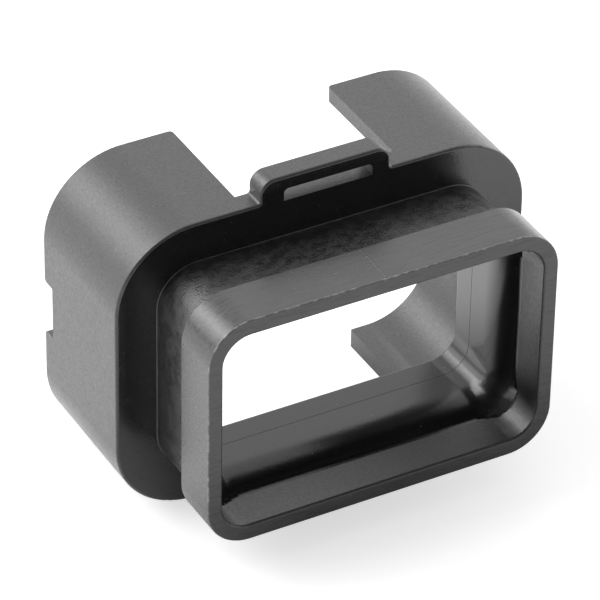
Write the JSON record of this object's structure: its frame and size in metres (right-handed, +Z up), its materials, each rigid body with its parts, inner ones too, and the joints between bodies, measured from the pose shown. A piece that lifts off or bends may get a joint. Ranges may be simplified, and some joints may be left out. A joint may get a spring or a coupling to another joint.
{
  "type": "connector backshell",
  "caption": "Hollow rectangular backshell in black moulded plastic, with a rimmed cable passage at the front, an open shroud behind and a slotted tie tab on top.",
  "frame": {"origin": "on the axis of the rectangular cable passage, in the plane of the flange's front face", "axes": "+X across, to the right seen from the collar; +Y to the rear, into the connector, along the cable passage; +Z up, towards the tie tab"},
  "size_m": [0.045, 0.0277, 0.035],
  "materials": {
    "black_plastic": "black thermoplastic, fine matte texture on the shroud and the collar's outside, smoother and glossier on the flange face, the neck and the inner walls"
  },
  "bodies": {
    "root": {"backshell": "black_plastic"}
  },
  "joints": []
}
